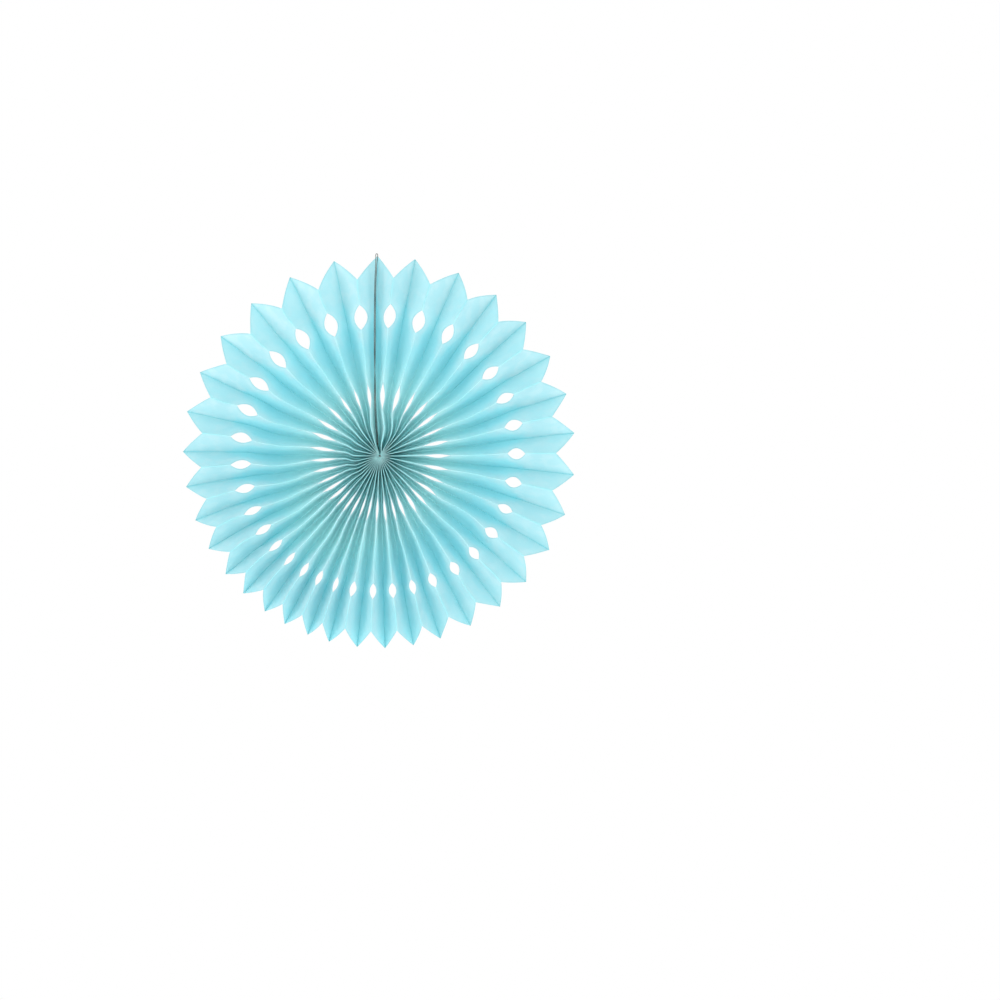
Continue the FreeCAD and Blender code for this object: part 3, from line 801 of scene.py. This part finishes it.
def greyThread():
    # grey thread: a stretched noise gives darker and lighter lengths, a fine one its fibres
    material, nodes, links, principled = newMaterial("grey twisted thread")
    place = nodes.new("ShaderNodeTexCoord")
    stretch = nodes.new("ShaderNodeMapping")
    stretch.inputs["Scale"].default_value = yarn["stretch"]
    patches = nodes.new("ShaderNodeTexNoise")
    patches.inputs["Scale"].default_value = 1.0
    patches.inputs["Detail"].default_value = yarn["detail"]
    fibre = nodes.new("ShaderNodeTexNoise")
    fibre.inputs["Scale"].default_value = yarn["fibreScale"]
    shades = colourRamp(nodes, *yarn["range"], yarn["dark"], yarn["pale"])
    relief = nodes.new("ShaderNodeBump")
    relief.inputs["Strength"].default_value = yarn["reliefStrength"]
    relief.inputs["Distance"].default_value = yarn["reliefHeight"]
    links.new(place.outputs["Object"], stretch.inputs["Vector"])
    links.new(stretch.outputs["Vector"], patches.inputs["Vector"])
    links.new(place.outputs["Object"], fibre.inputs["Vector"])
    links.new(patches.outputs["Fac"], shades.inputs["Fac"])
    links.new(shades.outputs["Color"], principled.inputs["Base Color"])
    links.new(fibre.outputs["Fac"], relief.inputs["Height"])
    links.new(relief.outputs["Normal"], principled.inputs["Normal"])
    principled.inputs["Roughness"].default_value = yarn["roughness"]
    principled.inputs["Sheen Weight"].default_value = yarn["sheen"]
    return material


def paleFloor():
    # a soft noise between two pale greys
    material, nodes, links, principled = newMaterial("pale floor")
    place = nodes.new("ShaderNodeTexCoord")
    grain = nodes.new("ShaderNodeTexNoise")
    grain.inputs["Scale"].default_value = 8.0
    shades = colourRamp(nodes, 0.0, 1.0, (0.80, 0.80, 0.80), (0.84, 0.84, 0.84))
    links.new(place.outputs["Object"], grain.inputs["Vector"])
    links.new(grain.outputs["Fac"], shades.inputs["Fac"])
    links.new(shades.outputs["Color"], principled.inputs["Base Color"])
    principled.inputs["Roughness"].default_value = 0.9
    return material


studio = {
    "floorHeight": -1.15,
    "floorEdges": (-1.6, 1.6, -1.6, 0.75),  # left, right, front and back
    "worldLight": 1.12,
    "lampSize": 1.0,
    "lamps": (((-1.35, -0.90, -0.15), 6.5), ((0.80, -1.00, -0.80), 5.5)),  # places and watts
}


def addFloor():
    left, right, front, back = studio["floorEdges"]
    corners = np.array([(left, front), (right, front), (right, back), (left, back)])
    corners = np.insert(corners, 2, studio["floorHeight"], axis=1)
    floor = meshObject("floor", corners, [[0, 1, 2, 3]])
    floor.data.materials.append(paleFloor())


def addLamps():
    # square lamps, each turned towards the rosette's middle
    for number, (place, watts) in enumerate(studio["lamps"], start=1):
        lamp = bpy.data.lights.new("soft lamp %d" % number, "AREA")
        lamp.shape = "SQUARE"
        lamp.size = studio["lampSize"]
        lamp.energy = watts
        holder = bpy.data.objects.new(lamp.name, lamp)
        holder.location = place
        holder.rotation_euler = (-Vector(place)).to_track_quat("-Z", "Y").to_euler()
        bpy.context.scene.collection.objects.link(holder)


def addWorld():
    # an even light from all sides, seen as white by the camera, in gloss and through glass
    world = bpy.data.worlds.new("soft white room")
    bpy.context.scene.world = world
    world.use_nodes = True
    nodes, links = world.node_tree.nodes, world.node_tree.links
    nodes.clear()
    rays = nodes.new("ShaderNodeLightPath")
    seen = rays.outputs["Is Camera Ray"]
    for kind in ("Is Glossy Ray", "Is Transmission Ray"):
        either = nodes.new("ShaderNodeMath")
        either.operation = "MAXIMUM"
        links.new(seen, either.inputs[0])
        links.new(rays.outputs[kind], either.inputs[1])
        seen = either.outputs["Value"]
    blend = nodes.new("ShaderNodeMixShader")
    links.new(seen, blend.inputs["Fac"])
    for socket, strength in ((1, studio["worldLight"]), (2, 1.0)):
        light = nodes.new("ShaderNodeBackground")
        light.inputs["Color"].default_value = (1.0, 1.0, 1.0, 1.0)
        light.inputs["Strength"].default_value = strength
        links.new(light.outputs["Background"], blend.inputs[socket])
    output = nodes.new("ShaderNodeOutputWorld")
    links.new(blend.outputs["Shader"], output.inputs["Surface"])


view = {
    "metresPerPixel": 0.0010165,
    "hubPixel": (380.1, 456.0),
    "imagePixels": 1000,
    "distance": 5.0,
    "sensor": 36.0,
}


def addCamera():
    # far enough for a flat view, aimed so that the hub falls on its pixel
    scale, wide = view["metresPerPixel"], view["imagePixels"]
    data = bpy.data.cameras.new("camera")
    data.sensor_width = view["sensor"]
    data.lens = view["sensor"] * view["distance"] / (scale * wide)
    camera = bpy.data.objects.new("camera", data)
    across = (0.5 * wide - view["hubPixel"][0]) * scale + hubPlace[0]
    upward = (view["hubPixel"][1] - 0.5 * wide) * scale + hubPlace[1]
    camera.location = (across, -view["distance"], upward)
    camera.rotation_euler = (math.radians(90.0), 0.0, 0.0)
    bpy.context.scene.collection.objects.link(camera)
    bpy.context.scene.camera = camera


addCamera()
addFloor()
addLamps()
addWorld()
bpy.context.scene.view_settings.view_transform = "Standard"
print("camera and studio ready")

threadPiece = hangingThread()
threadPiece.data.materials.append(greyThread())
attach(threadPiece, "root")
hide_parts("hanging_thread")

tiePiece = centreTie()
tiePiece.data.materials.append(threadPiece.data.materials[0])
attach(tiePiece, "root")
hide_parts("centre_tie")
print("thread and tie ready")

paperPiece = pleatedPaper()
paperPiece.data.materials.append(tissuePaper())
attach(paperPiece, "root")
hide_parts("pleated_paper")
print("paper ready")
